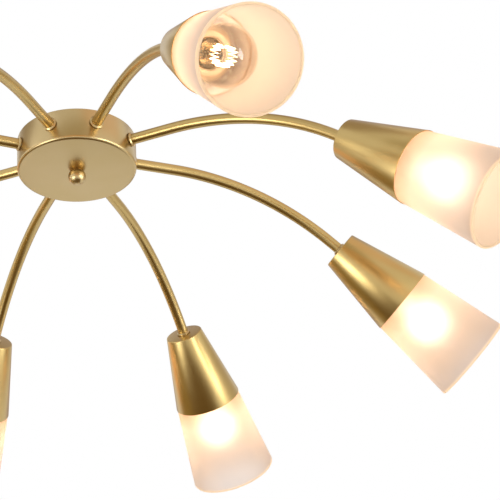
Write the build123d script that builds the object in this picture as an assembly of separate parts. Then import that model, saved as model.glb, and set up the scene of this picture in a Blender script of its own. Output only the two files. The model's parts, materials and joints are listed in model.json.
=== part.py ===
from build123d import *
import math
import os

# A ceiling light with eight bent arms. Millimetres and degrees, +Z up.
# The origin is the centre of the ceiling bracket's back face, so the ceiling is the plane Z = 0.
# Each lamp head is made once in its own frame: Z along the head away from the arm,
# with Z = 0 on the outer face of the cup's cap. Arms are made along +X and turned about Z.

# ---- arms ----
arm_count = 8
arm_set_offs = {1: -2.4, 2: 1.7}  # two arms are clamped a little off their even places
arm_height = -15.0  # axis of the arms where they enter the canopy
tube_radius = 5.5
tube_bore_radius = 4.0
thread_radius = 5.0  # both ends of an arm, M10 x 1 drawn plain
first_straight = 43.0  # from the canopy's wall to the bend
bend_radius = 275.0
bend_angle = 38.0
last_straight = 12.0  # from the bend to the collar on the cup
cup_thread_length = 26.5  # past the collar, into the cup and the lampholder
thread_proud = 3.0  # thread that stands past the nut inside the canopy

# ---- canopy ----
canopy_radius = 60.0
canopy_height = 35.0
canopy_wall = 1.2
canopy_edge_round = 1.8
canopy_rim_round = 0.4

# ---- collars, washers and nuts on the arm threads ----
thread_clearance = 0.05
hole_clearance = 0.2
collar_radius = 7.2
collar_height = 2.5
collar_top_radius = 5.9
collar_flange = 0.9
collar_foot_radius = 6.5
collar_foot = 0.6
washer_radius = 8.0
washer_thickness = 1.2
washer_split = 1.5
nut_flats = 14.0
nut_thickness = 3.5
nut_chamfer = 0.8
seat_gap = 0.02  # between a flat washer and the curved wall that it bears on

# ---- ceiling bracket, stud and finial ----
bracket_length = 104.0
bracket_width = 20.0
bracket_thickness = 2.0
bracket_corner = 5.0
slot_length = 18.0
slot_width = 4.5
slot_end_margin = 3.0  # strip left past the end of a slot
bracket_hub_radius = 8.0
bracket_hub_height = 3.0
stud_radius = 4.0  # M8 drawn plain
stud_recess = 0.3  # tops of the stud and the earth screw below the bracket's back face
stud_engagement = 10.0  # stud inside the finial
stud_hole_clearance = 0.3
stud_nut_flats = 13.0
stud_nut_thickness = 5.0
earth_screw_radius = 2.0
earth_head_radius = 4.0
earth_head_height = 2.6
earth_head_round = 0.9
earth_slot_width = 0.9
earth_slot_depth = 1.3
earth_screw_margin = 7.0  # from the end of a slot to the earth screw's axis
ball_radius = 8.8
ball_centre_drop = 6.6  # ball's centre below the canopy's bottom
ball_bore_spare = 1.0  # bore past the end of the stud

# ---- cup ----
cup_cap_radius = 20.0
cup_mouth_radius = 36.5
cup_length = 84.0
cup_wall = 0.6
cup_cap_thickness = 1.0
cup_edge_round = 1.0

# ---- glass shade ----
shade_mouth_radius = 46.5
shade_mouth_place = 178.5
shade_wall = 3.0
shade_gap = 0.25  # to the inside of the cup
shade_seat = 58.0  # back face of the glass floor
shade_hole_clearance = 0.5
shade_rim_round = 1.2
shade_corner_round = 2.5
shade_inner_round = 1.0

# ---- lampholder and shade ring ----
holder_radius = 19.5
holder_cap_place = 15.0
holder_cap_boss_radius = 8.5
holder_cap_boss_length = 6.0
holder_cap_wall = 2.2
holder_joint = 37.0  # cap meets body
holder_web_place = 40.5
holder_contact_seat = 45.5
holder_mouth_place = 75.0
holder_mouth_radius = 15.0
holder_mouth_depth = 3.0
holder_shoulder_width = 3.0  # how far the shoulder stands out from the holder
holder_shoulder_thickness = 3.5
lead_hole_radius = 2.5
shell_radius = 13.1  # inside of the brass screw shell, E27 drawn plain
shell_wall = 0.5
shell_start = 47.0
contact_radius = 4.5
contact_tip_radius = 2.6
contact_step = 0.5
ring_clearance = 0.05
ring_wall = 3.25
ring_flange_width = 2.7
ring_flange_thickness = 2.5
ring_length = 9.0
ring_grip_count = 12
ring_grip_radius = 1.6

# ---- bulb ----
globe_radius = 27.5
globe_centre = 117.0
bulb_wall = 0.8
bulb_cap_start = 46.5  # end of the centre contact, seated on the lampholder's contact
bulb_cap_end = 73.0
bulb_cap_wall = 0.5
bulb_cap_clearance = 0.05  # to the lampholder's shell outside and to the glass neck inside
bulb_foot_length = 2.5
bulb_tip_radius = 4.8
bulb_foot_radius = 11.5
neck_start = 66.0
neck_end = 76.0
shoulder_angle = 35.0  # where the globe runs into the neck, below its widest place
stem_radius = 3.2
stem_root_radius = 6.0
stem_end = 97.0
pump_hole_radius = 0.6

# ---- leads ----
lead_radius = 1.5
lead_inside = 1.0  # left between the lead's end and the lampholder's web
lead_entry = 40.0  # distance from the centre at which a lead leaves its arm's line
lead_bend_radius = 6.0
lead_spacing = 0.35
lead_end_gap = 1.0
connector_place = 24.0
connector_height = 12.0
connector_wall = 1.5
connector_floor = 1.5
connector_clearance = 0.3
run_share = 0.45  # of the shorter run beside a corner, kept for its arc

cut_over = 5.0  # how far a cutter runs past what it cuts

# ---- worked out from the sizes above ----
canopy_inner_radius = canopy_radius - canopy_wall
canopy_floor = -(canopy_height - canopy_wall)
collar_inner_radius = thread_radius + thread_clearance
washer_seat = math.sqrt(canopy_inner_radius ** 2 - washer_radius ** 2) - seat_gap
arm_start = washer_seat - washer_thickness - nut_thickness - thread_proud
cup_slope = (cup_mouth_radius - cup_cap_radius) / cup_length
cup_wall_across = cup_wall * math.hypot(1.0, cup_slope)  # wall measured square to the axis
slot_spacing = bracket_length - slot_length - 2 * slot_end_margin
earth_screw_place = (slot_spacing - slot_length) / 2 - earth_screw_margin
shade_hole_radius = holder_radius + shade_hole_clearance
holder_shoulder_radius = holder_radius + holder_shoulder_width
ring_inner_radius = holder_radius + ring_clearance
ring_radius = ring_inner_radius + ring_wall
ring_flange_radius = ring_radius + ring_flange_width
neck_radius = shell_radius - 2 * bulb_cap_clearance - bulb_cap_wall
half_count = arm_count // 2
lead_ring_radius = (lead_radius + lead_spacing / 2) / math.sin(math.pi / half_count)
connector_bore = lead_ring_radius + lead_radius + connector_clearance

bend_start_x = canopy_radius + first_straight
bend_end = Vector(
    bend_start_x + bend_radius * math.sin(math.radians(bend_angle)),
    0,
    arm_height - bend_radius * (1 - math.cos(math.radians(bend_angle))),
)
head_axis = Vector(math.cos(math.radians(bend_angle)), 0, -math.sin(math.radians(bend_angle)))
shoulder_point = bend_end + head_axis * last_straight  # end of the tube's full diameter
cup_origin = shoulder_point + head_axis * collar_height

head_place = Location((cup_origin.X, 0, cup_origin.Z), (0, 90 + bend_angle, 0))
hub_place = Location((0, 0, arm_height), (0, 90, 0))  # Z runs outwards along the arm's axis


def arm_turn(index):
    return 360.0 / arm_count * (index - 1) + arm_set_offs.get(index, 0.0)


def on_arm(index, shape):
    return Rot(0, 0, arm_turn(index)) * shape


def on_head(index, shape):
    return on_arm(index, head_place * shape)


def on_hub(index, shape):
    return on_arm(index, hub_place * shape)


def turned(points, rounds=None):
    """Solid of revolution about Z from (radius, height) points; rounds gives some points a radius."""
    outline = make_face(Polyline(*points, close=True))
    for place, size in (rounds or {}).items():
        corner = outline.vertices().sort_by_distance(points[place])[0]
        outline = fillet(corner, size)
    return revolve(Plane.XZ * outline, Axis.Z)


def ring(inner, outer, low, high):
    return turned([(inner, low), (outer, low), (outer, high), (inner, high)])


def hexagon_nut(flats, bore, low, thickness, chamfer):
    """Hexagon nut standing on the height low, with the corners of both faces turned off."""
    profile = RegularPolygon(flats / 2, 6, major_radius=False) - Circle(bore)
    body = Pos(0, 0, low) * extrude(profile, thickness)
    corner = flats / math.sqrt(3)
    high = low + thickness
    drop = chamfer / 2
    cone = turned([
        (0, low), (corner - chamfer, low), (corner, low + drop),
        (corner, high - drop), (corner - chamfer, high), (0, high),
    ])
    return body & cone


def split_washer(low):
    washer = ring(collar_inner_radius, washer_radius, low, low + washer_thickness)
    gap = Pos(washer_radius, 0, low + washer_thickness / 2)
    return washer - gap * Box(washer_radius, washer_split, washer_thickness + 2 * cut_over)


def collar():
    """Collar that an arm's shoulder bears on; its foot is at height 0 and the tube is above it."""
    return turned([
        (collar_inner_radius, 0), (collar_foot_radius, 0), (collar_foot_radius, collar_foot),
        (collar_radius, collar_foot), (collar_radius, collar_foot + collar_flange),
        (collar_top_radius, collar_height), (collar_inner_radius, collar_height),
    ])


# ---- canopy and what carries it ----

def make_canopy():
    drum = turned(
        [
            (0, -canopy_height), (canopy_radius, -canopy_height), (canopy_radius, 0),
            (canopy_inner_radius, 0), (canopy_inner_radius, canopy_floor), (0, canopy_floor),
        ],
        {1: canopy_edge_round, 2: canopy_rim_round, 4: canopy_edge_round - canopy_wall},
    )
    stud_hole = Cylinder(stud_radius + stud_hole_clearance, 2 * (canopy_wall + cut_over))
    drum -= Pos(0, 0, -canopy_height) * stud_hole
    hole = Pos(0, 0, canopy_radius) * Cylinder(thread_radius + hole_clearance, canopy_radius)
    for index in range(1, arm_count + 1):
        drum -= on_hub(index, hole)
    return drum


def make_bracket():
    strip = Pos(0, 0, -bracket_thickness / 2) * Box(bracket_length, bracket_width, bracket_thickness)
    strip = fillet(strip.edges().filter_by(Axis.Z), bracket_corner)
    hub_middle = -bracket_thickness - bracket_hub_height / 2
    strip += Pos(0, 0, hub_middle) * Cylinder(bracket_hub_radius, bracket_hub_height)
    slot = extrude(SlotOverall(slot_length, slot_width), bracket_thickness + cut_over, both=True)
    for side in (-1, 1):
        strip -= Pos(side * slot_spacing / 2, 0, 0) * slot
    depth = 2 * (bracket_thickness + bracket_hub_height + cut_over)
    strip -= Cylinder(stud_radius + thread_clearance, depth)
    strip -= Pos(-earth_screw_place, 0, 0) * Cylinder(earth_screw_radius + thread_clearance, depth)
    return strip


def make_stud():
    low = -canopy_height - stud_engagement
    return turned([(0, low), (stud_radius, low), (stud_radius, -stud_recess), (0, -stud_recess)])


def make_stud_locknut():
    low = -bracket_thickness - bracket_hub_height - stud_nut_thickness
    bore = stud_radius + thread_clearance
    return hexagon_nut(stud_nut_flats, bore, low, stud_nut_thickness, nut_chamfer)


def make_earth_screw():
    head_top = -bracket_thickness
    head_low = head_top - earth_head_height
    screw = turned(
        [
            (0, head_low), (earth_head_radius, head_low), (earth_head_radius, head_top),
            (earth_screw_radius, head_top), (earth_screw_radius, -stud_recess), (0, -stud_recess),
        ],
        {1: earth_head_round},
    )
    drive = Box(2 * (earth_head_radius + cut_over), earth_slot_width, 2 * earth_slot_depth)
    return Pos(-earth_screw_place, 0, 0) * (screw - Pos(0, 0, head_low) * drive)


def make_finial():
    foot = -canopy_height
    centre = foot - ball_centre_drop
    ball = Pos(0, 0, centre) * Sphere(ball_radius)
    ball = split(ball, Plane((0, 0, foot)), keep=Keep.BOTTOM)
    depth = stud_engagement + ball_bore_spare
    bore = Pos(0, 0, foot - depth / 2) * Cylinder(stud_radius + thread_clearance, depth)
    return ball - bore


# ---- arms ----

def arm_path(start, finish):
    """Centre line of an arm from the distance start along the canopy's radius to the point finish."""
    first = Line((start, 0, arm_height), (bend_start_x, 0, arm_height))
    bend = TangentArc((bend_start_x, 0, arm_height), tuple(bend_end), tangent=(1, 0, 0))
    last = Line(tuple(bend_end), tuple(finish))
    return Curve() + [first, bend, last]


def swept(path, radius, start, heading):
    return sweep(Plane(origin=start, z_dir=heading) * Circle(radius), path=path)


def make_arm():
    shoulder = canopy_radius + collar_height
    thread_tip = shoulder_point + head_axis * (collar_height + cup_thread_length)
    tube = swept(arm_path(shoulder, shoulder_point), tube_radius, (shoulder, 0, arm_height), (1, 0, 0))
    inner_thread = ring(0, thread_radius, arm_start, shoulder)
    outer_thread = ring(0, thread_radius, -collar_height, cup_thread_length)
    solid = tube + hub_place * inner_thread + head_place * outer_thread
    bore = swept(arm_path(arm_start, thread_tip), tube_bore_radius, (arm_start, 0, arm_height), (1, 0, 0))
    return solid - bore


# ---- cup and shade, in the head's frame ----

def cup_inside(height):
    return cup_cap_radius + cup_slope * height - cup_wall_across


def make_cup():
    shell = turned(
        [
            (0, 0), (cup_cap_radius, 0), (cup_mouth_radius, cup_length),
            (cup_inside(cup_length), cup_length),
            (cup_inside(cup_cap_thickness), cup_cap_thickness), (0, cup_cap_thickness),
        ],
        {1: cup_edge_round},
    )
    return shell - Cylinder(thread_radius + hole_clearance, 2 * (cup_cap_thickness + cut_over))


def make_shade():
    hole = shade_hole_radius
    seat_radius = cup_inside(shade_seat) - shade_gap
    lip_radius = cup_inside(cup_length) - shade_gap
    floor = shade_seat + shade_wall
    return turned(
        [
            (hole, shade_seat), (seat_radius, shade_seat), (lip_radius, cup_length),
            (shade_mouth_radius, shade_mouth_place),
            (shade_mouth_radius - shade_wall, shade_mouth_place),
            (lip_radius - shade_wall, cup_length),
            (seat_radius - shade_wall, floor), (hole, floor),
        ],
        {1: shade_corner_round, 3: shade_rim_round, 4: shade_rim_round, 6: shade_inner_round},
    )


# ---- lampholder, in the head's frame ----

def make_holder_cap():
    boss_end = holder_cap_place + holder_cap_boss_length
    inside = holder_radius - holder_cap_wall
    return turned([
        (collar_inner_radius, holder_cap_place), (holder_cap_boss_radius, holder_cap_place),
        (holder_cap_boss_radius, boss_end - holder_cap_wall),
        (holder_radius, holder_joint - holder_cap_boss_length), (holder_radius, holder_joint),
        (inside, holder_joint), (inside, holder_joint - holder_cap_boss_length),
        (holder_cap_boss_radius, boss_end), (collar_inner_radius, boss_end),
    ])


def make_holder_body():
    bore = shell_radius + shell_wall + thread_clearance
    shoulder = shade_seat - holder_shoulder_thickness
    inside = holder_radius - holder_cap_wall
    mouth = holder_mouth_place - holder_mouth_depth
    return turned([
        (lead_hole_radius, holder_web_place), (inside, holder_web_place), (inside, holder_joint),
        (holder_radius, holder_joint), (holder_radius, shoulder),
        (holder_shoulder_radius, shoulder), (holder_shoulder_radius, shade_seat),
        (holder_radius, shade_seat), (holder_radius, holder_mouth_place),
        (holder_mouth_radius, holder_mouth_place), (holder_mouth_radius, mouth), (bore, mouth),
        (bore, holder_contact_seat), (lead_hole_radius, holder_contact_seat),
    ])


def make_holder_shell():
    return ring(shell_radius, shell_radius + shell_wall, shell_start, holder_mouth_place - holder_mouth_depth)


def make_holder_contact():
    step = holder_contact_seat + contact_step
    return turned([
        (0, holder_contact_seat), (contact_radius, holder_contact_seat), (contact_radius, step),
        (contact_tip_radius, step), (contact_tip_radius, bulb_cap_start), (0, bulb_cap_start),
    ])


def make_shade_ring():
    low = shade_seat + shade_wall
    flange = low + ring_flange_thickness
    body = turned([
        (ring_inner_radius, low), (ring_flange_radius, low), (ring_flange_radius, flange),
        (ring_radius, flange), (ring_radius, low + ring_length), (ring_inner_radius, low + ring_length),
    ])
    groove_middle = flange + ring_length / 2
    groove = Cylinder(ring_grip_radius, ring_length)
    place = ring_radius + ring_grip_radius / 2
    for turn in range(ring_grip_count):
        body -= Rot(0, 0, 360 / ring_grip_count * turn) * Pos(place, 0, groove_middle) * groove
    return body


# ---- bulb, in the head's frame ----

def globe_outline(wall):
    """Neck, shoulder and globe of the bulb's envelope, wall further in than its outside."""
    angle = math.radians(shoulder_angle)
    radius = globe_radius - wall
    joint = Vector(radius * math.cos(angle), 0, globe_centre - radius * math.sin(angle))
    top = Vector(0, 0, globe_centre + radius)
    middle = Vector(radius, 0, globe_centre)
    neck_top = Vector(neck_radius - wall, 0, neck_end)
    shoulder = Spline(
        neck_top, joint, tangents=[(0, 0, 1), (math.sin(angle), 0, math.cos(angle))]
    )
    return neck_top, shoulder, ThreePointArc(joint, middle, top), top


def make_bulb_glass():
    outer_neck, outer_shoulder, outer_globe, outer_top = globe_outline(0.0)
    inner_neck, inner_shoulder, inner_globe, inner_top = globe_outline(bulb_wall)
    root = neck_start + bulb_wall
    stem_root = root + (neck_radius - stem_root_radius)
    outside = Line((neck_radius, 0, neck_start), outer_neck)
    floor = Line((pump_hole_radius, 0, neck_start), (neck_radius, 0, neck_start))
    hole = Line((pump_hole_radius, 0, stem_end), (pump_hole_radius, 0, neck_start))
    stem = Polyline(
        inner_neck, (neck_radius - bulb_wall, 0, root), (stem_root_radius, 0, root),
        (stem_radius, 0, stem_root), (stem_radius, 0, stem_end - stem_radius / 2),
        (stem_radius / 2, 0, stem_end), (pump_hole_radius, 0, stem_end),
    )
    outline = Curve() + [
        floor, outside, outer_shoulder, outer_globe, Line(outer_top, inner_top),
        inner_globe, inner_shoulder, stem, hole,
    ]
    return revolve(make_face(outline), Axis.Z, 360)


def make_bulb_cap():
    radius = shell_radius - bulb_cap_clearance
    tip_end = bulb_cap_start + bulb_foot_length / 2
    foot_end = bulb_cap_start + bulb_foot_length
    inside = neck_radius + bulb_cap_clearance
    return turned([
        (0, bulb_cap_start), (bulb_tip_radius, bulb_cap_start), (bulb_tip_radius, tip_end),
        (bulb_foot_radius, foot_end), (radius, foot_end + bulb_foot_length / 2),
        (radius, bulb_cap_end), (inside, bulb_cap_end),
        (inside, foot_end + bulb_foot_length), (0, foot_end + bulb_foot_length),
    ])


# ---- leads ----

def lead_corners(index):
    """Corners of a lead's route inside the canopy, from its arm's line down into its connector."""
    side = (index // half_count) % 2
    slot = index % half_count - 1
    turn = math.radians(180.0 * side + 360.0 / half_count * slot)
    centre = Vector(connector_place * (1 - 2 * side), 0, 0)
    offset = Vector(math.cos(turn), math.sin(turn), 0) * lead_ring_radius
    over = centre + offset + Vector(0, 0, arm_height)
    entry = Vector(lead_entry, 0, arm_height).rotate(Axis.Z, arm_turn(index))
    start = Vector(bend_start_x, 0, arm_height).rotate(Axis.Z, arm_turn(index))
    bottom = Vector(over.X, over.Y, canopy_floor + connector_floor + lead_end_gap)
    if (over - entry).get_angle(entry - start) < 1.0:
        return [start, over, bottom]
    return [start, entry, over, bottom]


def corner_radii(corners):
    radii = []
    for before, corner, after in zip(corners, corners[1:], corners[2:]):
        turn = (corner - before).get_angle(after - corner)
        room = run_share * min((corner - before).length, (after - corner).length)
        radii.append(min(room / math.tan(math.radians(turn / 2)), lead_bend_radius * 90 / turn))
    return radii


def make_lead(index):
    spin = Rot(0, 0, arm_turn(index))
    holder_end = cup_origin + head_axis * (holder_web_place - lead_inside)
    along = spin * Line(tuple(holder_end), tuple(bend_end))
    bend = spin * TangentArc((bend_start_x, 0, arm_height), tuple(bend_end), tangent=(1, 0, 0))
    corners = lead_corners(index)
    inside = FilletPolyline(*corners, radius=corner_radii(corners))
    start = holder_end.rotate(Axis.Z, arm_turn(index))
    heading = (head_axis * -1).rotate(Axis.Z, arm_turn(index))
    path = Curve() + [along, bend, inside]
    lead = swept(path, lead_radius, start, heading)
    length = sum(edge.length for edge in path.edges())
    filled = lead.volume / (math.pi * lead_radius ** 2 * length)
    radii = [round(radius, 1) for radius in corner_radii(corners)]
    print(f"lead {index}: length {length:.1f}, radii {radii}, volume over section times length {filled:.4f}")
    return lead


def make_connectors():
    low = canopy_floor
    outer = connector_bore + connector_wall
    high = low + connector_height
    cap = turned(
        [
            (0, low), (outer, low), (outer, high), (connector_bore, high),
            (connector_bore, low + connector_floor), (0, low + connector_floor),
        ],
        {1: connector_wall / 2},
    )
    return [Pos(side * connector_place, 0, 0) * cap for side in (1, -1)]


# ---- write the nodes ----

def write(name, shapes):
    solids = [solid for shape in shapes for solid in shape.solids()]
    whole = solids[0] if len(solids) == 1 else Compound(children=solids)
    whole.label = name
    export_step(whole, f"parts/{name}.step")


def main():
    os.makedirs("parts", exist_ok=True)
    places = range(1, arm_count + 1)

    write("mounting_bracket", [make_bracket()])
    write("center_stud", [make_stud()])
    write("stud_locknut", [make_stud_locknut()])
    write("earth_screw", [make_earth_screw()])
    write("canopy", [make_canopy()])
    write("ball_finial", [make_finial()])

    hub_collar = Pos(0, 0, canopy_radius) * collar()
    hub_washer = split_washer(washer_seat - washer_thickness)
    hub_nut_place = washer_seat - washer_thickness - nut_thickness
    hub_nut = hexagon_nut(nut_flats, collar_inner_radius, hub_nut_place, nut_thickness, nut_chamfer)
    write("hub_collars", [on_hub(i, hub_collar) for i in places])
    write("hub_lock_washers", [on_hub(i, hub_washer) for i in places])
    write("hub_nuts", [on_hub(i, hub_nut) for i in places])

    cup_collar = Rot(180, 0, 0) * collar()
    cup_washer = split_washer(cup_cap_thickness)
    cup_nut_place = cup_cap_thickness + washer_thickness
    cup_nut = hexagon_nut(nut_flats, collar_inner_radius, cup_nut_place, nut_thickness, nut_chamfer)
    shared = {
        "cup_collars": cup_collar,
        "cup_lock_washers": cup_washer,
        "cup_nuts": cup_nut,
        "lampholder_caps": make_holder_cap(),
        "lampholder_bodies": make_holder_body(),
        "lampholder_shells": make_holder_shell(),
        "lampholder_contacts": make_holder_contact(),
        "shade_rings": make_shade_ring(),
    }
    for name, shape in shared.items():
        write(name, [on_head(i, shape) for i in places])

    own = {
        "cup": make_cup(),
        "shade": make_shade(),
        "bulb_glass": make_bulb_glass(),
        "bulb_cap": make_bulb_cap(),
    }
    arm = make_arm()
    for i in places:
        write(f"arm_{i}", [on_arm(i, arm)])
        for name, shape in own.items():
            write(f"{name}_{i}", [on_head(i, shape)])

    write("arm_leads", [make_lead(i) for i in places])
    write("wire_connectors", make_connectors())


main()
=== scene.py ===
import bpy
import json
import math
from mathutils import Matrix, Vector


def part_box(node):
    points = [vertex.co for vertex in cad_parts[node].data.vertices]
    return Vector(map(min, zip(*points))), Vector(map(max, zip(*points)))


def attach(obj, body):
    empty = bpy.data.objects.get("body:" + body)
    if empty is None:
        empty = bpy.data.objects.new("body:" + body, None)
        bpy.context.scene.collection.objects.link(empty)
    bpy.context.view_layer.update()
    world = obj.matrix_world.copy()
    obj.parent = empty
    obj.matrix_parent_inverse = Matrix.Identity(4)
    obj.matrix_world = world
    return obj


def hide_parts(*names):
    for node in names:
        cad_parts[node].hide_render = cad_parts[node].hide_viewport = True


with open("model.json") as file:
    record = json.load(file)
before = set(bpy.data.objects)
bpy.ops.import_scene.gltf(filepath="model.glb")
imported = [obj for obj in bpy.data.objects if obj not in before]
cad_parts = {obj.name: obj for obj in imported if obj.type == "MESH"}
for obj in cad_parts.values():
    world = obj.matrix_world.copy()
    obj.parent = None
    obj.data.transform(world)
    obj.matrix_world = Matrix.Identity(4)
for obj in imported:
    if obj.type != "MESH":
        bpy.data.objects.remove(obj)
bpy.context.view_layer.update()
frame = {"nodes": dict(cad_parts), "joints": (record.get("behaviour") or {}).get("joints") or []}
mm = 0.001
weld = 0.03 * mm  # points nearer than this are joined
headCount = sum(1 for joint in frame["joints"] if joint["name"].startswith("bulb_"))
print("frame loaded, heads:", headCount)


# small helpers for materials

def colourOf(hexText):
    # sRGB hex to linear
    parts = [int(hexText[start:start + 2], 16) / 255 for start in (0, 2, 4)]
    linear = [part / 12.92 if part <= 0.04045 else ((part + 0.055) / 1.055) ** 2.4 for part in parts]
    return (*linear, 1.0)


def addNode(tree, kind, settings=None, links=None):
    # settings go to the node's inputs where it has one of that name, otherwise to the node itself
    node = tree.nodes.new(kind)
    for name, value in (settings or {}).items():
        if isinstance(name, int) or name in node.inputs:
            node.inputs[name].default_value = value
        else:
            setattr(node, name, value)
    for name, source in (links or {}).items():
        tree.links.new(source, node.inputs[name])
    return node


def startMaterial(name):
    material = bpy.data.materials.new(name)
    material.use_nodes = True
    tree = material.node_tree
    tree.nodes.clear()
    return material, tree


def finishMaterial(tree, shader):
    addNode(tree, "ShaderNodeOutputMaterial", links={"Surface": shader})


def fillRamp(ramp, stops):
    # stops are (place, hex colour)
    elements = ramp.color_ramp.elements
    while len(elements) > 1:
        elements.remove(elements[0])
    elements[0].position = stops[0][0]
    elements[0].color = colourOf(stops[0][1])
    for place, hexText in stops[1:]:
        elements.new(place).color = colourOf(hexText)


def seenWhite(tree):
    # 1 for the rays that the white background is for: straight to the camera, mirrored or seen through glass
    light = addNode(tree, "ShaderNodeLightPath")
    seen = addNode(tree, "ShaderNodeMath", {"operation": "MAXIMUM"}, {
        0: light.outputs["Is Camera Ray"], 1: light.outputs["Is Glossy Ray"]})
    seenToo = addNode(tree, "ShaderNodeMath", {"operation": "MAXIMUM"}, {
        0: seen.outputs[0], 1: light.outputs["Is Transmission Ray"]})
    return seenToo.outputs[0]


def edgeGloss(tree, normal):
    # share of light that bare glass throws back, alike on both faces:
    # 4 % seen square and all of it at a glancing angle
    slant = addNode(tree, "ShaderNodeLayerWeight", {"Blend": 0.5}, {"Normal": normal})
    curve = addNode(tree, "ShaderNodeMath", {"operation": "POWER", 1: 5.0}, {0: slant.outputs["Facing"]})
    share = addNode(tree, "ShaderNodeMapRange", {"To Min": 0.04}, {"Value": curve.outputs[0]})
    return share.outputs["Result"]


def noiseRange(tree, noise, ends):
    # the middle of a noise spread over the two ends
    spread = addNode(tree, "ShaderNodeMapRange", {
        "From Min": 0.3, "From Max": 0.7, "To Min": ends[0], "To Max": ends[1]},
        {"Value": noise.outputs["Fac"]})
    return spread.outputs["Result"]


# brass plate over steel, satin and lacquered: broad soft highlights, with fine turned lines on the cups
brass = {
    "canopyColours": ("C2AA79", "C9B284"),
    "armColoursPaintedWarm": ("C2A76C", "C8AE74"),  # arms and cups take a more golden copy of the same brass, a painted warm reflection of the glowing shades
    "toneStops": (0.35, 0.65),
    "roughness": (0.29, 0.35),
    "toneSize": 60 * mm,
    "grainSize": 0.7 * mm,  # the real grit is about 0.1 mm, drawn coarser so that it shows
    "grainDepth": 0.006 * mm,
    "grainStrength": 0.3,
    "lineWidth": 0.5 * mm,  # brush lines round a turned piece, also drawn coarser
    "lineLength": 25 * mm,
    "lineDepth": 0.006 * mm,
    "lineStrength": 0.5,
}


def makeBrass(name, colours, brushed):
    material, tree = startMaterial(name)
    place = addNode(tree, "ShaderNodeTexCoord")
    tone = addNode(tree, "ShaderNodeTexNoise", {"Scale": 1 / brass["toneSize"], "Detail": 2.0},
                   {"Vector": place.outputs["Object"]})
    grain = addNode(tree, "ShaderNodeTexNoise", {"Scale": 1 / brass["grainSize"], "Detail": 3.0},
                    {"Vector": place.outputs["Object"]})
    ramp = addNode(tree, "ShaderNodeValToRGB", links={"Fac": tone.outputs["Fac"]})
    fillRamp(ramp, list(zip(brass["toneStops"], colours)))
    shader = addNode(tree, "ShaderNodeBsdfPrincipled", {"Metallic": 1.0}, {
        "Base Color": ramp.outputs["Color"],
        "Roughness": noiseRange(tree, grain if brushed else tone, brass["roughness"])})
    if brushed:
        bump = addNode(tree, "ShaderNodeBump", {
            "Strength": brass["grainStrength"], "Distance": brass["grainDepth"]},
            {"Height": grain.outputs["Fac"]})
        stretch = addNode(tree, "ShaderNodeMapping",
                          {"Scale": (1 / brass["lineLength"], 1 / brass["lineWidth"], 1.0)},
                          {"Vector": place.outputs["UV"]})
        lines = addNode(tree, "ShaderNodeTexNoise", {"Scale": 1.0, "Detail": 4.0},
                        {"Vector": stretch.outputs["Vector"]})
        bump = addNode(tree, "ShaderNodeBump", {
            "Strength": brass["lineStrength"], "Distance": brass["lineDepth"]},
            {"Height": lines.outputs["Fac"], "Normal": bump.outputs["Normal"]})
        tree.links.new(bump.outputs["Normal"], shader.inputs["Normal"])
    finishMaterial(tree, shader.outputs["BSDF"])
    return material


# acid-etched opal glass: a fine matt outer face and a cloudy body spread what shines behind into a soft glow,
# and the inner face is clear. Places run from 0 at the seat to 1 at the mouth.
frosted = {
    # the etched face's tint with painted glow: rosy in the cup, pale below it, painted darker towards the
    # mouth, and a painted bright rim
    "tintsWithPaintedGlow": [(0.0, "E0AC7C"), (0.22, "E8C8AC"), (0.38, "ECDED4"), (0.97, "C4B8B0"), (0.99, "FFF0D8")],
    # the opal body seen from outside, with painted glow: peach where it leaves the cup, painted darker
    # towards the mouth, and a painted bright rim
    "bodies": [(0.0, "FFF0E0"), (0.12, "FFE8D0"), (0.22, "EECEB2"),
               (0.38, "F0E0D2"), (0.97, "DACEC4"), (0.99, "FFF4E0")],
    # the opal body seen from the bulb's side, painted lighter in the cup to lift the shade there
    "insidesPaintedLighter": [(0.16, "FFF8F2"), (0.24, "F8DEC2")],
    "roughness": 1.0,
    "bodyRoughness": 0.5,
    "ior": 1.45,
    "cloudy": (0.42, 0.95),  # share of the light that the opal body scatters, seen square and at a slant
    "slants": (0.1, 0.6),  # where square ends and slant begins, 0 is square and 1 is edge on
    # share of the scattered light that comes out on the other face, in the cup and below it
    "passing": (0.1, 0.66),
    "cupEdge": (0.16, 0.22),  # where the glass comes out of the cup
    "rimStart": 0.988,  # from here to the mouth it is opal alone
    "grainSize": 0.6 * mm,  # the real etch is about 0.05 mm, drawn coarser so that it shows
    "grainDepth": 0.01 * mm,
    "grainStrength": 0.3,
}


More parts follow.
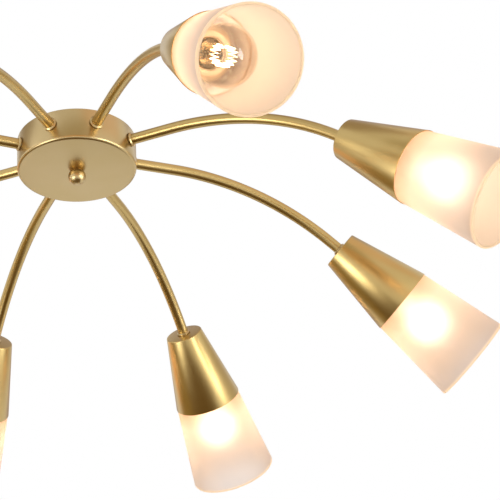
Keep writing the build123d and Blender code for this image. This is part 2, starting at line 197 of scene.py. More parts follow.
def makeFrosted():
    material, tree = startMaterial("acidEtchedOpalGlass")
    place = addNode(tree, "ShaderNodeTexCoord")
    along = addNode(tree, "ShaderNodeSeparateXYZ", links={"Vector": place.outputs["UV"]})
    side = addNode(tree, "ShaderNodeNewGeometry")
    ramps = {}
    for kind in ("tintsWithPaintedGlow", "bodies", "insidesPaintedLighter"):
        ramps[kind] = addNode(tree, "ShaderNodeValToRGB", links={"Fac": along.outputs["Y"]})
        fillRamp(ramps[kind], frosted[kind])
    # the body's colour carries the painted glow seen from outside and the painted lighter inside seen from
    # the bulb's side
    body = addNode(tree, "ShaderNodeMixRGB", links={
        "Fac": side.outputs["Backfacing"],
        "Color1": ramps["bodies"].outputs["Color"], "Color2": ramps["insidesPaintedLighter"].outputs["Color"]})
    inCup, below = frosted["passing"]
    start, end = frosted["cupEdge"]
    passing = addNode(tree, "ShaderNodeMapRange", {
        "From Min": start, "From Max": end, "To Min": inCup, "To Max": below}, {"Value": along.outputs["Y"]})
    grain = addNode(tree, "ShaderNodeTexNoise", {"Scale": 1 / frosted["grainSize"], "Detail": 2.0},
                    {"Vector": place.outputs["Object"]})
    bump = addNode(tree, "ShaderNodeBump", {
        "Strength": frosted["grainStrength"], "Distance": frosted["grainDepth"]},
        {"Height": grain.outputs["Fac"]})
    etched = addNode(tree, "ShaderNodeBsdfPrincipled", {
        "Roughness": frosted["roughness"], "IOR": frosted["ior"], "Transmission Weight": 1.0}, {
        "Base Color": ramps["tintsWithPaintedGlow"].outputs["Color"], "Normal": bump.outputs["Normal"]})
    face = addNode(tree, "ShaderNodeBsdfPrincipled", {
        "Roughness": frosted["bodyRoughness"], "IOR": frosted["ior"]}, {
        "Base Color": body.outputs["Color"], "Normal": bump.outputs["Normal"]})
    through = addNode(tree, "ShaderNodeBsdfTranslucent", links={"Color": body.outputs["Color"]})
    opal = addNode(tree, "ShaderNodeMixShader", links={
        0: passing.outputs["Result"], 1: face.outputs["BSDF"], 2: through.outputs["BSDF"]})
    slant = addNode(tree, "ShaderNodeLayerWeight", {"Blend": 0.5})
    (squareEnd, slantStart), (square, slanted) = frosted["slants"], frosted["cloudy"]
    cloud = addNode(tree, "ShaderNodeMapRange", {
        "From Min": squareEnd, "From Max": slantStart, "To Min": square, "To Max": slanted},
        {"Value": slant.outputs["Facing"]})
    rim = addNode(tree, "ShaderNodeMath", {"operation": "GREATER_THAN", 1: frosted["rimStart"]}, {
        0: along.outputs["Y"]})
    opaque = addNode(tree, "ShaderNodeMath", {"operation": "MAXIMUM"}, {
        0: rim.outputs[0], 1: side.outputs["Backfacing"]})
    clouding = addNode(tree, "ShaderNodeMath", {"operation": "MAXIMUM"}, {
        0: cloud.outputs["Result"], 1: opaque.outputs[0]})
    outer = addNode(tree, "ShaderNodeMixShader", links={
        0: clouding.outputs[0], 1: etched.outputs["BSDF"], 2: opal.outputs["Shader"]})
    clear = addNode(tree, "ShaderNodeBsdfTransparent")
    which = addNode(tree, "ShaderNodeAttribute", {"attribute_name": "innerFace"})
    blend = addNode(tree, "ShaderNodeMixShader", links={
        0: which.outputs["Fac"], 1: outer.outputs["Shader"], 2: clear.outputs["BSDF"]})
    finishMaterial(tree, blend.outputs["Shader"])
    return material


# blown soda-lime glass: clear and bright edged, with the slight waves of blowing; lamps shine through it
clearGlass = {
    "colour": "FFFAF4",
    "glossColour": "FFFFFF",
    "waveSize": 14 * mm,
    "waveDepth": 0.05 * mm,
    "waveStrength": 0.15,
    "roughness": 0.03,
}


def makeClearGlass():
    material, tree = startMaterial("blownClearGlass")
    place = addNode(tree, "ShaderNodeTexCoord")
    wave = addNode(tree, "ShaderNodeTexNoise", {"Scale": 1 / clearGlass["waveSize"], "Detail": 1.0},
                   {"Vector": place.outputs["Object"]})
    bump = addNode(tree, "ShaderNodeBump", {
        "Strength": clearGlass["waveStrength"], "Distance": clearGlass["waveDepth"]},
        {"Height": wave.outputs["Fac"]})
    mirror = addNode(tree, "ShaderNodeBsdfGlossy", {
        "Color": colourOf(clearGlass["glossColour"]), "Roughness": clearGlass["roughness"]},
        {"Normal": bump.outputs["Normal"]})
    clear = addNode(tree, "ShaderNodeBsdfTransparent", {"Color": colourOf(clearGlass["colour"])})
    blend = addNode(tree, "ShaderNodeMixShader", links={
        0: edgeGloss(tree, bump.outputs["Normal"]), 1: clear.outputs["BSDF"], 2: mirror.outputs["BSDF"]})
    finishMaterial(tree, blend.outputs["Shader"])
    return material


# finishes that are plain but for their grain
plainFinishes = {
    # pressed aluminium: bright, a little streaky
    "pressedAluminium": {"colour": "E6DCC6", "roughness": (0.18, 0.3), "metallic": 1.0,
                         "grainSize": 1.5 * mm, "grainDepth": 0.02 * mm, "strength": 0.4},
    # moulded thermoplastic: warm white with a spark-eroded matt
    "mouldedThermoplastic": {"colour": "F1E6D2", "roughness": (0.4, 0.55),
                             "grainSize": 0.6 * mm, "grainDepth": 0.02 * mm, "strength": 0.5},
    # rolled spring brass: brighter and yellower than the plated pieces
    "rolledBrass": {"colour": "E2BC6A", "roughness": (0.15, 0.28), "metallic": 1.0,
                    "grainSize": 0.8 * mm, "grainDepth": 0.01 * mm, "strength": 0.4},
    # silicone sheath: dull white, faintly uneven
    "siliconeSheath": {"colour": "DEDCD4", "roughness": (0.45, 0.6),
                       "grainSize": 1.0 * mm, "grainDepth": 0.03 * mm, "strength": 0.4},
    # moulded nylon: straw coloured, waxy
    "mouldedNylon": {"colour": "E2CC92", "roughness": (0.35, 0.45),
                     "grainSize": 0.8 * mm, "grainDepth": 0.02 * mm, "strength": 0.4},
    # drawn nickel: grey and bright
    "nickelWire": {"colour": "B4B0A8", "roughness": (0.2, 0.3), "metallic": 1.0,
                   "grainSize": 0.5 * mm, "grainDepth": 0.005 * mm, "strength": 0.3},
    # zinc plate, passivated: cool grey with cloudy patches
    "zincPlate": {"colour": "C4C7CA", "roughness": (0.25, 0.42), "metallic": 1.0,
                  "grainSize": 4 * mm, "grainDepth": 0.02 * mm, "strength": 0.3},
    # green passivated zinc for the earth screw
    "greenPassivate": {"colour": "3F8A52", "roughness": (0.28, 0.4), "metallic": 0.8,
                       "grainSize": 1.2 * mm, "grainDepth": 0.01 * mm, "strength": 0.3},
}


def makePlain(name):
    finish = plainFinishes[name]
    material, tree = startMaterial(name)
    place = addNode(tree, "ShaderNodeTexCoord")
    grain = addNode(tree, "ShaderNodeTexNoise", {"Scale": 1 / finish["grainSize"], "Detail": 3.0},
                    {"Vector": place.outputs["Object"]})
    bump = addNode(tree, "ShaderNodeBump", {"Strength": finish["strength"], "Distance": finish["grainDepth"]},
                   {"Height": grain.outputs["Fac"]})
    shader = addNode(tree, "ShaderNodeBsdfPrincipled", {
        "Base Color": colourOf(finish["colour"]), "Metallic": finish.get("metallic", 0.0)}, {
        "Roughness": noiseRange(tree, grain, finish["roughness"]), "Normal": bump.outputs["Normal"]})
    finishMaterial(tree, shader.outputs["BSDF"])
    return material


# tungsten at working heat: yellow-white, a little redder in patches
filamentGlow = {
    "colour": "FFE6C0",
    "coolColour": "FFCF8E",
    "heatStops": (0.3, 0.7),
    "patchSize": 3 * mm,
    "strength": 9.0,
    "metalColour": "4A4642",
    "roughness": 0.5,
}


def makeFilamentFinish():
    material, tree = startMaterial("hotTungsten")
    place = addNode(tree, "ShaderNodeTexCoord")
    heat = addNode(tree, "ShaderNodeTexNoise", {"Scale": 1 / filamentGlow["patchSize"]},
                   {"Vector": place.outputs["Object"]})
    ramp = addNode(tree, "ShaderNodeValToRGB", links={"Fac": heat.outputs["Fac"]})
    fillRamp(ramp, list(zip(filamentGlow["heatStops"], (filamentGlow["coolColour"], filamentGlow["colour"]))))
    shader = addNode(tree, "ShaderNodeBsdfPrincipled", {
        "Base Color": colourOf(filamentGlow["metalColour"]), "Metallic": 1.0,
        "Roughness": filamentGlow["roughness"], "Emission Strength": filamentGlow["strength"]},
        {"Emission Color": ramp.outputs["Color"]})
    finishMaterial(tree, shader.outputs["BSDF"])
    return material


plainBrass = makeBrass("satinBrass", brass["canopyColours"], False)
# the arms and cups use the brass copy with painted warm reflection
tubeBrass = makeBrass("satinBrassTube", brass["armColoursPaintedWarm"], False)
turnedBrass = makeBrass("satinBrassTurned", brass["armColoursPaintedWarm"], True)
frostedGlass = makeFrosted()
blownGlass = makeClearGlass()
finishes = {name: makePlain(name) for name in plainFinishes}
hotTungsten = makeFilamentFinish()
print("materials made")


# modelling helpers

def deselectAll():
    bpy.ops.object.select_all(action="DESELECT")


def workOn(piece):
    deselectAll()
    piece.select_set(True)
    bpy.context.view_layer.objects.active = piece


def lathe(name, profile, segments):
    # a ring is carried along the profile of (radius, height) by extruding and resizing it
    deselectAll()
    radius, height = profile[0]
    bpy.ops.mesh.primitive_circle_add(vertices=segments, radius=radius, location=(0, 0, height))
    piece = bpy.context.object
    piece.name = name
    bpy.ops.object.transform_apply()
    bpy.ops.object.mode_set(mode="EDIT")
    bpy.ops.mesh.select_all(action="SELECT")
    for nextRadius, nextHeight in profile[1:]:
        bpy.ops.mesh.extrude_region_move(TRANSFORM_OT_translate={"value": (0, 0, nextHeight - height)})
        share = nextRadius / radius
        bpy.ops.transform.resize(value=(share, share, 1))
        radius, height = nextRadius, nextHeight
    bpy.ops.mesh.select_all(action="SELECT")
    bpy.ops.mesh.remove_doubles(threshold=weld)
    bpy.ops.mesh.normals_make_consistent(inside=False)
    bpy.ops.object.mode_set(mode="OBJECT")
    return piece


def roundEdges(piece, ringList, width, segments):
    # bevels the rings of edges at the given (radius, height)
    workOn(piece)
    bpy.ops.object.mode_set(mode="EDIT")
    bpy.ops.mesh.select_mode(type="EDGE")
    bpy.ops.mesh.select_all(action="DESELECT")
    bpy.ops.object.mode_set(mode="OBJECT")
    near = 0.02 * mm
    points = piece.data.vertices
    for edge in piece.data.edges:
        ends = [points[index].co for index in edge.vertices]
        edge.select = any(
            all(abs(end.z - height) < near and abs(end.xy.length - radius) < near for end in ends)
            for radius, height in ringList
        )
    bpy.ops.object.mode_set(mode="EDIT")
    bpy.ops.mesh.bevel(offset=width, segments=segments, affect="EDGES")
    bpy.ops.object.mode_set(mode="OBJECT")


def unroll(piece, across, along):
    # UV map: across gives the length for one turn, along turns a point into the second coordinate
    while piece.data.uv_layers:
        piece.data.uv_layers.remove(piece.data.uv_layers[0])
    layer = piece.data.uv_layers.new(name="unrolled")
    points = piece.data.vertices
    for face in piece.data.polygons:
        turns = {index: math.atan2(points[index].co.y, points[index].co.x) / math.tau
                 for index in face.vertices}
        seam = max(turns.values()) - min(turns.values()) > 0.5
        for loop in face.loop_indices:
            index = piece.data.loops[loop].vertex_index
            turn = turns[index] + (1 if seam and turns[index] < 0 else 0)
            layer.data[loop].uv = (turn * across, along(points[index].co))


def finishPiece(piece, material, angle=30):
    piece.data.materials.clear()
    piece.data.materials.append(material)
    workOn(piece)
    bpy.ops.object.shade_smooth_by_angle(angle=math.radians(angle))


# the heads' places, read from the frame: each head points along its bulb's slide

def headPlaces():
    places = []
    for number in range(1, headCount + 1):
        joint = next(j for j in frame["joints"] if j["name"] == f"bulb_{number}_unscrew")
        axis = Vector(joint["axis"]).normalized()
        side = axis.cross(Vector((0, 0, 1))).normalized()
        upward = side.cross(axis)
        points = [vertex.co for vertex in frame["nodes"][f"cup_{number}"].data.vertices]
        middle = [(max(p.dot(way) for p in points) + min(p.dot(way) for p in points)) / 2
                  for way in (upward, side)]
        start = min(p.dot(axis) for p in points)
        origin = upward * middle[0] + side * middle[1] + axis * start
        matrix = Matrix((upward, side, axis)).transposed().to_4x4()
        matrix.translation = origin
        places.append(matrix)
    return places


heads = headPlaces()


def copyTo(place, pattern, name):
    # each copy has its own mesh, with its place in it
    piece = pattern.copy()
    piece.data = pattern.data.copy()
    piece.name = name
    bpy.context.scene.collection.objects.link(piece)
    piece.matrix_world = place
    workOn(piece)
    bpy.ops.object.transform_apply()
    return piece


def setOnHeads(pattern, label, node=None, bodyOf=None):
    # a piece modelled along Z is copied to each head, then the pattern goes
    for number, place in enumerate(heads, start=1):
        piece = copyTo(place, pattern, f"{label}_{number}")
        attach(piece, f"bulb_{number}" if bodyOf == "bulb" else "fixture")
        if node:
            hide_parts(f"{node}_{number}")
    bpy.data.objects.remove(pattern)
    print("placed", label)


# canopy: a pressed drum with a soft lower edge, bored for the arms and the stud

canopy = {
    "radius": 60 * mm,
    "height": 35 * mm,
    "wall": 1.2 * mm,
    "edgeRound": 3.2 * mm,
    "rimRound": 0.4 * mm,
    "edgeSteps": 8,
    "innerSteps": 6,
    "rimSteps": 2,
    "studHole": 4.3 * mm,
    "armHole": 5.2 * mm,
    "armPlace": -15 * mm,
    "cutterLength": 12 * mm,
    "cutterSegments": 48,
    "cutWeld": 0.02 * mm,
    "sliver": 0.01 * mm,
    "segments": 192,
}


def makeCanopy():
    radius, low = canopy["radius"], -canopy["height"]
    inside, floor = radius - canopy["wall"], low + canopy["wall"]
    profile = [
        (canopy["studHole"], low), (radius, low), (radius, 0), (inside, 0),
        (inside, floor), (canopy["studHole"], floor), (canopy["studHole"], low),
    ]
    piece = lathe("canopyDrum", profile, canopy["segments"])
    roundEdges(piece, [(radius, low)], canopy["edgeRound"], canopy["edgeSteps"])
    roundEdges(piece, [(inside, floor)], canopy["edgeRound"] - canopy["wall"], canopy["innerSteps"])
    roundEdges(piece, [(radius, 0), (inside, 0)], canopy["rimRound"], canopy["rimSteps"])
    for place in heads:
        way = Vector((*place.translation.xy, 0)).normalized()
        deselectAll()
        bpy.ops.mesh.primitive_cylinder_add(
            vertices=canopy["cutterSegments"], radius=canopy["armHole"], depth=canopy["cutterLength"],
            location=way * radius + Vector((0, 0, canopy["armPlace"])),
            rotation=(0, math.pi / 2, math.atan2(way.y, way.x)))
        cutter = bpy.context.object
        workOn(piece)
        cut = piece.modifiers.new("armHole", "BOOLEAN")
        cut.operation = "DIFFERENCE"
        cut.object = cutter
        bpy.ops.object.modifier_apply(modifier=cut.name)
        bpy.data.objects.remove(cutter)
    bpy.ops.object.mode_set(mode="EDIT")
    bpy.ops.mesh.select_all(action="SELECT")
    bpy.ops.mesh.remove_doubles(threshold=canopy["cutWeld"])
    bpy.ops.mesh.dissolve_degenerate(threshold=canopy["sliver"])
    bpy.ops.mesh.normals_make_consistent(inside=False)
    bpy.ops.object.mode_set(mode="OBJECT")
    finishPiece(piece, plainBrass)
    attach(piece, "fixture")
    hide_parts("canopy")
    print("placed", piece.name)


# arm: a bent tube with a thinner threaded end at each side, bored through for the leads

arm = {
    "tubeRadius": 5.5 * mm,
    "threadRadius": 5 * mm,
    "boreRadius": 4 * mm,
    "collarHeight": 2.5 * mm,
    "lastStraight": 12 * mm,
    "cupThread": 26.5 * mm,
    "segments": 80,
    "bendSteps": 72,
}


def extrudeBy(vector):
    bpy.ops.mesh.extrude_region_move(TRANSFORM_OT_translate={"value": vector})


def stepBy(share):
    # a flat step of the ring in or out
    extrudeBy((0, 0, 0))
    bpy.ops.transform.resize(value=(share, share, share))


def makeArms():
    armLow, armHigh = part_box("arm_3")  # this arm points along +Y
    axis = heads[2].to_3x3().col[2]
    tilt = math.asin(-axis.z)
    alongHead = Vector((math.cos(tilt), 0, -math.sin(tilt)))
    cupFace = Vector((heads[2].translation.xy.length, 0, heads[2].translation.z))
    height = armHigh.z - arm["tubeRadius"]
    shoulder = canopy["radius"] + arm["collarHeight"]
    tubeEnd = cupFace - alongHead * arm["collarHeight"]
    bendEnd = tubeEnd - alongHead * arm["lastStraight"]
    bendRadius = (height - bendEnd.z) / (1 - math.cos(tilt))
    bendStart = bendEnd.x - bendRadius * math.sin(tilt)
    start = armLow.y
    bendCentre = (bendStart, 0, height - bendRadius)
    deselectAll()
    bpy.ops.mesh.primitive_circle_add(vertices=arm["segments"], radius=arm["boreRadius"],
                                      location=(start, 0, height), rotation=(0, math.pi / 2, 0))
    piece = bpy.context.object
    piece.name = "armPattern"
    bpy.ops.object.transform_apply()
    bpy.ops.object.mode_set(mode="EDIT")
    bpy.ops.mesh.select_all(action="SELECT")
    bore, thread, tube = arm["boreRadius"], arm["threadRadius"], arm["tubeRadius"]
    threadLength = arm["collarHeight"] + arm["cupThread"]
    stepBy(thread / bore)
    extrudeBy((shoulder - start, 0, 0))
    stepBy(tube / thread)
    extrudeBy((bendStart - shoulder, 0, 0))
    bpy.ops.mesh.spin(steps=arm["bendSteps"], angle=-tilt, center=bendCentre, axis=(0, 1, 0))
    extrudeBy(alongHead * arm["lastStraight"])
    stepBy(thread / tube)
    extrudeBy(alongHead * threadLength)
    stepBy(bore / thread)
    extrudeBy(alongHead * -(arm["lastStraight"] + threadLength))
    bpy.ops.mesh.spin(steps=arm["bendSteps"], angle=tilt, center=bendCentre, axis=(0, 1, 0))
    extrudeBy((start - bendStart, 0, 0))
    bpy.ops.mesh.select_all(action="SELECT")
    bpy.ops.mesh.remove_doubles(threshold=weld)
    bpy.ops.mesh.normals_make_consistent(inside=False)
    bpy.ops.object.mode_set(mode="OBJECT")
    finishPiece(piece, tubeBrass)
    for number, place in enumerate(heads, start=1):
        turn = math.atan2(place.translation.y, place.translation.x)
        copy = copyTo(Matrix.Rotation(turn, 4, "Z"), piece, f"bentArm_{number}")
        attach(copy, "fixture")
        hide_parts(f"arm_{number}")
    bpy.data.objects.remove(piece)
    print("placed bentArm, bend radius", round(bendRadius / mm, 1), "mm")


# cup: a spun cone of thin sheet with a flat cap and a turned mouth

cup = {
    "capRadius": 20 * mm,
    "mouthRadius": 36.5 * mm,
    "length": 84 * mm,
    "wall": 0.6 * mm,
    "capThickness": 1.0 * mm,
    "holeRadius": 5.2 * mm,
    "capRound": 1.0 * mm,
    "capSteps": 4,
    "lipRound": 0.2 * mm,
    "lipSteps": 2,
    "segments": 128,
}


def cupInside(height):
    slope = (cup["mouthRadius"] - cup["capRadius"]) / cup["length"]
    return cup["capRadius"] + slope * height - cup["wall"] * math.hypot(1, slope)


def makeCups():
    capInside = cupInside(cup["capThickness"])
    mouthInside = cupInside(cup["length"])
    profile = [
        (cup["holeRadius"], 0), (cup["capRadius"], 0), (cup["mouthRadius"], cup["length"]),
        (mouthInside, cup["length"]), (capInside, cup["capThickness"]),
        (cup["holeRadius"], cup["capThickness"]), (cup["holeRadius"], 0),
    ]
    piece = lathe("cupPattern", profile, cup["segments"])
    roundEdges(piece, [(cup["capRadius"], 0)], cup["capRound"], cup["capSteps"])
    lip = [(cup["mouthRadius"], cup["length"]), (mouthInside, cup["length"])]
    roundEdges(piece, lip, cup["lipRound"], cup["lipSteps"])
    unroll(piece, math.tau * cup["capRadius"], lambda point: point.z + point.xy.length)
    finishPiece(piece, turnedBrass)
    setOnHeads(piece, "spunCup", "cup")


# shade: a blown cone of glass with a floor that the lampholder's ring clamps, and a rounded rim

shade = {
    "seat": 58 * mm,
    "mouthPlace": 178.5 * mm,
    "mouthRadius": 46.5 * mm,
    "wall": 3 * mm,
    "gap": 0.25 * mm,
    "holeRadius": 20 * mm,
    "cornerRound": 2.5 * mm,
    "cornerSteps": 4,
    "innerRound": 1.0 * mm,
    "innerSteps": 3,
    "rimRound": 1.2 * mm,
    "rimSteps": 5,
    "segments": 128,
    "smoothAngle": 40,
}


def markInnerFaces(piece):
    # 1 on the wall and floor that the bulb sees, 0 on the rim and the outer face
    mark = piece.data.attributes.new("innerFace", "FLOAT", "FACE")
    mostly, slightly = 0.7, 0.1
    for face in piece.data.polygons:
        looksIn = face.normal.xy.dot(face.center.xy.normalized()) < -mostly or (
            face.normal.z > mostly and face.center.z < shade["mouthPlace"] - shade["wall"])
        onRim = face.center.z > shade["mouthPlace"] - shade["rimRound"] and face.normal.z > slightly
        mark.data[face.index].value = 1.0 if looksIn and not onRim else 0.0


def makeShades():
    seatRadius = cupInside(shade["seat"]) - shade["gap"]
    lipRadius = cupInside(cup["length"]) - shade["gap"]
    floor = shade["seat"] + shade["wall"]
    mouthInside = shade["mouthRadius"] - shade["wall"]
    profile = [
        (shade["holeRadius"], shade["seat"]), (seatRadius, shade["seat"]), (lipRadius, cup["length"]),
        (shade["mouthRadius"], shade["mouthPlace"]), (mouthInside, shade["mouthPlace"]),
        (lipRadius - shade["wall"], cup["length"]), (seatRadius - shade["wall"], floor),
        (shade["holeRadius"], floor), (shade["holeRadius"], shade["seat"]),
    ]
    piece = lathe("shadePattern", profile, shade["segments"])
    roundEdges(piece, [(seatRadius, shade["seat"])], shade["cornerRound"], shade["cornerSteps"])
    roundEdges(piece, [(seatRadius - shade["wall"], floor)], shade["innerRound"], shade["innerSteps"])
    rim = [(shade["mouthRadius"], shade["mouthPlace"]), (mouthInside, shade["mouthPlace"])]
    roundEdges(piece, rim, shade["rimRound"], shade["rimSteps"])
    markInnerFaces(piece)
    length = shade["mouthPlace"] - shade["seat"]
    unroll(piece, 1.0, lambda point: (point.z - shade["seat"]) / length)
    finishPiece(piece, frostedGlass, shade["smoothAngle"])
    setOnHeads(piece, "frostedShade", "shade")


# bulb: a clear globe on a neck, with the flared stem that carries the wires

bulb = {
    "globeRadius": 27.5 * mm,
    "centre": 117 * mm,
    "wall": 0.8 * mm,
    "neckRadius": 12.5 * mm,
    "neckStart": 66 * mm,
    "neckEnd": 76 * mm,
    "shoulderAngle": math.radians(35),
    "shoulderReach": 0.48,  # length of the shoulder's tangents as a share of its height
    "shoulderSteps": 10,
    "stemRadius": 3.2 * mm,
    "stemRoot": 6 * mm,
    "stemEnd": 97 * mm,
    "pumpHole": 0.6 * mm,
    "segments": 72,
    "arcSteps": 28,
    "poleRadius": 0.01 * mm,
    "smoothAngle": 50,
}


def globeSide(inset):
    # from the pole down to the neck, inset by the wall
    radius = bulb["globeRadius"] - inset
    low = -bulb["shoulderAngle"]
    points = [(bulb["poleRadius"], bulb["centre"] + radius)]
    for step in range(1, bulb["arcSteps"] + 1):
        angle = math.pi / 2 + (low - math.pi / 2) * step / bulb["arcSteps"]
        points.append((radius * math.cos(angle), bulb["centre"] + radius * math.sin(angle)))
    lastRadius, lastHeight = points[-1]
    neckRadius = bulb["neckRadius"] - inset
    # the shoulder leaves the globe along its tangent and comes into the neck straight
    reach = (lastHeight - bulb["neckEnd"]) * bulb["shoulderReach"]
    controls = [
        Vector((lastRadius, lastHeight)),
        Vector((lastRadius + math.sin(low) * reach, lastHeight - math.cos(low) * reach)),
        Vector((neckRadius, bulb["neckEnd"] + reach)),
        Vector((neckRadius, bulb["neckEnd"])),
    ]
    for step in range(1, bulb["shoulderSteps"] + 1):
        t = step / bulb["shoulderSteps"]
        weights = ((1 - t) ** 3, 3 * t * (1 - t) ** 2, 3 * t * t * (1 - t), t ** 3)
        point = sum((c * w for c, w in zip(controls, weights)), Vector((0, 0)))
        points.append((point.x, point.y))
    return points


def makeGlobes():
    root = bulb["neckStart"] + bulb["wall"]
    stemRise = bulb["neckRadius"] - bulb["stemRoot"]
    inside = [
        (bulb["neckRadius"] - bulb["wall"], root), (bulb["stemRoot"], root),
        (bulb["stemRadius"], root + stemRise),
        (bulb["stemRadius"], bulb["stemEnd"] - bulb["stemRadius"] / 2),
        (bulb["stemRadius"] / 2, bulb["stemEnd"]), (bulb["pumpHole"], bulb["stemEnd"]),
        (bulb["pumpHole"], bulb["neckStart"]), (bulb["neckRadius"], bulb["neckStart"]),
    ]
    profile = globeSide(bulb["wall"]) + inside + globeSide(0)[::-1]
    piece = lathe("globePattern", profile, bulb["segments"])
    finishPiece(piece, blownGlass, bulb["smoothAngle"])
    setOnHeads(piece, "clearGlobe", "bulb_glass", "bulb")


# filament: a coil of tungsten hung in a cage of peaks on thin supports

filament = {
    "wireRadius": 0.2 * mm,
    "wireSides": 5,
    "coilRadius": 1.2 * mm,
    "pitch": 0.6 * mm,
    "turnSteps": 7,
    "cageRadius": 8.5 * mm,
    "cageLow": 103 * mm,
    "cageHigh": 122 * mm,
    "legs": 26,
    "gapAngle": math.radians(50),  # left open between the two lead-in wires
    "supportRadius": 0.2 * mm,
    "supportRoundness": 1,
    "hookEvery": 4,
    "hookDrop": 2.5 * mm,
    "stemHold": 1.2 * mm,
    "stemLow": 92 * mm,
    "stemHigh": 98.5 * mm,
    "coilSmoothAngle": 60,
    "wireSmoothAngle": 50,
}


def cagePoints():
    # the coil runs up and down between two rings, from one lead-in wire round to the other
    points = []
    span = math.tau - filament["gapAngle"]
    for leg in range(filament["legs"] + 1):
        angle = filament["gapAngle"] / 2 + span * leg / filament["legs"]
        height = filament["cageLow"] if leg % 2 == 0 else filament["cageHigh"]
        points.append(Vector((filament["cageRadius"] * math.cos(angle),
                              filament["cageRadius"] * math.sin(angle), height)))
    return points


def startCurve(name):
    deselectAll()
    bpy.ops.curve.primitive_bezier_curve_add()
    curve = bpy.context.object
    curve.name = name
    curve.data.splines.clear()
    return curve


def addLine(curve, points):
    spline = curve.data.splines.new("POLY")
    spline.points.add(len(points) - 1)
    for target, point in zip(spline.points, points):
        target.co = (*point, 1)


def makeFilaments():
    points = cagePoints()
    length = sum((b - a).length for a, b in zip(points, points[1:]))
    deselectAll()
    bpy.ops.mesh.primitive_circle_add(vertices=filament["wireSides"], radius=filament["wireRadius"],
                                      location=(0, filament["coilRadius"], 0), rotation=(0, math.pi / 2, 0))
    coil = bpy.context.object
    coil.name = "filamentPattern"
    bpy.ops.object.transform_apply()
    screw = coil.modifiers.new("coil", "SCREW")
    screw.axis = "X"
    screw.screw_offset = filament["pitch"]
    screw.iterations = int(length / filament["pitch"])
    screw.steps = screw.render_steps = filament["turnSteps"]
    bpy.ops.object.modifier_apply(modifier=screw.name)
    path = startCurve("coilPath")
    addLine(path, points)
    workOn(coil)
    bend = coil.modifiers.new("bend", "CURVE")
    bend.object = path
    bpy.ops.object.modifier_apply(modifier=bend.name)
    bpy.data.objects.remove(path)
    bpy.ops.object.mode_set(mode="EDIT")
    bpy.ops.mesh.select_all(action="SELECT")
    bpy.ops.mesh.fill_holes(sides=0)
    bpy.ops.mesh.normals_make_consistent(inside=False)
    bpy.ops.object.mode_set(mode="OBJECT")
    finishPiece(coil, hotTungsten, filament["coilSmoothAngle"])
    setOnHeads(coil, "filament", bodyOf="bulb")


def makeSupports():
    # two lead-in wires and the hooks between them rise from the stem to the low turns of the filament
    wires = startCurve("supportPattern")
    for hook in cagePoints()[::filament["hookEvery"]]:
        stemSide = Vector((hook.x, hook.y, 0)).normalized() * filament["stemHold"]
        addLine(wires, [
            stemSide + Vector((0, 0, filament["stemLow"])),
            stemSide + Vector((0, 0, filament["stemHigh"])),
            hook - Vector((0, 0, filament["hookDrop"])),
            hook,
        ])
    wires.data.dimensions = "3D"
    wires.data.bevel_depth = filament["supportRadius"]
    wires.data.bevel_resolution = filament["supportRoundness"]
    wires.data.use_fill_caps = True
    workOn(wires)
    bpy.ops.object.convert(target="MESH")
    finishPiece(wires, finishes["nickelWire"], filament["wireSmoothAngle"])
    setOnHeads(wires, "supportWires", bodyOf="bulb")


# light of the bulbs: a soft ball of light in each globe and a smaller one in its neck

bulbLight = {
    "colour": "FFF5EE",
    "balls": [  # name, place along the head, radius, watts
        ("globe", 118 * mm, 20 * mm, 0.09),
        ("neck", 90 * mm, 8 * mm, 0.014),
    ],
}


def makeBulbLights():
    for number, place in enumerate(heads, start=1):
        for label, along, radius, watts in bulbLight["balls"]:
            deselectAll()
            bpy.ops.object.light_add(type="POINT", location=place @ Vector((0, 0, along)))
            lamp = bpy.context.object
            lamp.name = f"{label}Light_{number}"
            lamp.data.color = colourOf(bulbLight["colour"])[:3]
            lamp.data.energy = watts
            lamp.data.shadow_soft_size = radius
            lamp.visible_camera = lamp.visible_glossy = False
            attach(lamp, f"bulb_{number}")


makeCanopy()
makeArms()
makeCups()
makeShades()
makeGlobes()
makeFilaments()
makeSupports()
makeBulbLights()


# the CAD nodes that keep their shape take their finish by slot

slotFinish = {
    "satin_brass": plainBrass,
    "frosted_glass": frostedGlass,
    "clear_glass": blownGlass,
    "bulb_shell": finishes["pressedAluminium"],
    "lampholder_plastic": finishes["mouldedThermoplastic"],
    "contact_brass": finishes["rolledBrass"],
    "lead_sheath": finishes["siliconeSheath"],
    "connector_plastic": finishes["mouldedNylon"],
    "zinc_steel": finishes["zincPlate"],
    "earth_screw_green": finishes["greenPassivate"],
}


def dressNodes():
    for node in frame["nodes"].values():
        for place in node.material_slots:
            slotName = place.material.name.split(".")[0]
            place.material = slotFinish.get(slotName, plainBrass)


dressNodes()
print("CAD nodes dressed")


# stage: a pale floor far below, soft lamps, and coloured cards that only reflections see

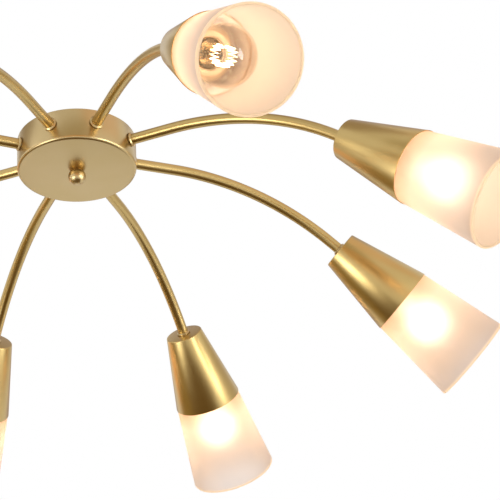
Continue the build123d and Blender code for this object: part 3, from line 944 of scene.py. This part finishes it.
studio = {
    "floorHeight": -2.5,
    "floorRadius": 60.0,
    "floorSides": 96,
    "fadeStart": 1.0,  # the floor turns white between these distances from the middle
    "fadeEnd": 2.4,
    "floorColour": "F2F1EE",
    "floorRoughness": 0.9,
    "fill": 0.57,
    "middle": Vector((0, 0, -0.12)),
    # name, azimuth, elevation and distance from the middle, width, height, watts, whether only gloss sees it
    "lamps": [
        ("softLamp", 30, 50, 2.5, 2.4, 2.4, 20, False),
        ("leftLamp", -100, -30, 2.0, 1.1, 0.6, 12, True),
        ("sideLamp", -75, 16, 2.0, 0.9, 0.7, 2.4, True),
        ("rearLamp", 137, -14, 2.2, 1.7, 1.0, 30, True),
    ],
    # name, azimuth, elevation and distance from the middle, width, height, colour, strength
    "cards": [
        ("underCard", 0, -90, 1.0, 1.7, 1.7, "6E5420", 1.0),
        ("leftCard", -35, -28, 1.6, 1.5, 1.3, "A0864A", 1.0),
        ("copperCard", -24, 2, 1.8, 0.6, 0.5, "FFC090", 1.6),
        ("sideCard", -40, 38, 1.6, 1.0, 0.9, "B4A794", 1.0),
        ("topCard", -70, 84, 1.4, 1.2, 1.0, "B8A898", 1.0),
        ("behindCard", -155, 34, 2.2, 2.0, 1.2, "C4BCA6", 1.0),
        ("blushCard", 142, 52, 1.7, 1.6, 1.0, "FFE4D2", 1.0),
        ("warmCard", -160, 4, 2.2, 1.9, 1.5, "F6C088", 1.0),
        ("backCard", 25, 20, 1.8, 1.2, 1.4, "C4B6B4", 1.0),
        ("farCard", 45, 60, 1.7, 1.4, 1.0, "C8C0C8", 1.0),
        ("rightCard", 82, 12, 1.9, 1.3, 1.5, "DCD4CC", 1.0),
    ],
}


def heading(azimuth, elevation):
    # azimuth 0 is +Y and 90 is +X
    a, e = math.radians(azimuth), math.radians(elevation)
    return Vector((math.sin(a) * math.cos(e), math.cos(a) * math.cos(e), math.sin(e)))


def aimAtMiddle(item, azimuth, elevation, distance):
    way = heading(azimuth, elevation)
    item.location = studio["middle"] + way * distance
    item.rotation_euler = way.to_track_quat("Z", "Y").to_euler()


def makeFloor():
    material, tree = startMaterial("paleFloor")
    place = addNode(tree, "ShaderNodeTexCoord")
    reach = addNode(tree, "ShaderNodeVectorMath", {"operation": "LENGTH"}, {0: place.outputs["Object"]})
    fade = addNode(tree, "ShaderNodeMapRange", {
        "interpolation_type": "SMOOTHSTEP", "From Min": studio["fadeStart"], "From Max": studio["fadeEnd"]},
        {"Value": reach.outputs["Value"]})
    share = addNode(tree, "ShaderNodeMath", {"operation": "MULTIPLY"}, {
        0: fade.outputs["Result"], 1: seenWhite(tree)})
    matt = addNode(tree, "ShaderNodeBsdfPrincipled", {
        "Base Color": colourOf(studio["floorColour"]), "Roughness": studio["floorRoughness"]})
    glare = addNode(tree, "ShaderNodeEmission", {"Color": (1, 1, 1, 1), "Strength": 1.0})
    blend = addNode(tree, "ShaderNodeMixShader", links={
        0: share.outputs[0], 1: matt.outputs["BSDF"], 2: glare.outputs["Emission"]})
    side = addNode(tree, "ShaderNodeNewGeometry")
    clear = addNode(tree, "ShaderNodeBsdfTransparent")
    oneSided = addNode(tree, "ShaderNodeMixShader", links={  # seen through from below
        0: side.outputs["Backfacing"], 1: blend.outputs["Shader"], 2: clear.outputs["BSDF"]})
    finishMaterial(tree, oneSided.outputs["Shader"])
    deselectAll()
    bpy.ops.mesh.primitive_circle_add(vertices=studio["floorSides"], radius=studio["floorRadius"],
                                      fill_type="NGON", location=(0, 0, studio["floorHeight"]))
    floor = bpy.context.object
    floor.name = "floor"
    floor.data.materials.append(material)


def makeLamps():
    for name, azimuth, elevation, distance, width, height, watts, glossAlone in studio["lamps"]:
        deselectAll()
        bpy.ops.object.light_add(type="AREA")
        lamp = bpy.context.object
        lamp.name = name
        lamp.data.shape = "RECTANGLE"
        lamp.data.size, lamp.data.size_y = width, height
        lamp.data.energy = watts
        lamp.visible_camera = False
        lamp.visible_glossy = glossAlone
        lamp.visible_diffuse = lamp.visible_transmission = not glossAlone
        aimAtMiddle(lamp, azimuth, elevation, distance)


def makeCards():
    for name, azimuth, elevation, distance, width, height, hexText, strength in studio["cards"]:
        material, tree = startMaterial(name)
        glow = addNode(tree, "ShaderNodeEmission", {"Color": colourOf(hexText), "Strength": strength})
        finishMaterial(tree, glow.outputs["Emission"])
        deselectAll()
        bpy.ops.mesh.primitive_plane_add(size=1)
        card = bpy.context.object
        card.name = name
        card.scale = (width, height, 1)
        card.data.materials.append(material)
        for kind in ("camera", "diffuse", "transmission", "shadow"):
            setattr(card, f"visible_{kind}", False)
        aimAtMiddle(card, azimuth, elevation, distance)


def makeWorld():
    world = bpy.data.worlds.new("studio")
    bpy.context.scene.world = world
    world.use_nodes = True
    tree = world.node_tree
    tree.nodes.clear()
    fill = addNode(tree, "ShaderNodeBackground", {"Color": (1, 1, 1, 1), "Strength": studio["fill"]})
    white = addNode(tree, "ShaderNodeBackground", {"Color": (1, 1, 1, 1), "Strength": 1.0})
    blend = addNode(tree, "ShaderNodeMixShader", links={
        0: seenWhite(tree), 1: fill.outputs["Background"], 2: white.outputs["Background"]})
    addNode(tree, "ShaderNodeOutputWorld", links={"Surface": blend.outputs["Shader"]})


# camera below the light, looking up at the canopy

camera = {
    "place": (-0.5555, -1.5949, -1.1392),
    "turn": -0.4352,  # radians about Z, 0 looks along +Y
    "tilt": 0.5364,  # radians above the horizon
    "roll": -0.0639,
    "lens": 143.7,
    "clipEnd": 200,
}


def makeCamera():
    deselectAll()
    bpy.ops.object.camera_add()
    item = bpy.context.object
    turn = Matrix.Rotation(camera["turn"], 4, "Z")
    tilt = Matrix.Rotation(math.pi / 2 + camera["tilt"], 4, "X")
    roll = Matrix.Rotation(camera["roll"], 4, "Z")
    item.matrix_world = Matrix.Translation(camera["place"]) @ turn @ tilt @ roll
    item.data.lens = camera["lens"]
    item.data.clip_end = camera["clipEnd"]
    bpy.context.scene.camera = item


makeFloor()
makeLamps()
makeCards()
makeWorld()
makeCamera()
bpy.context.scene.view_settings.view_transform = "Standard"
print("stage set")
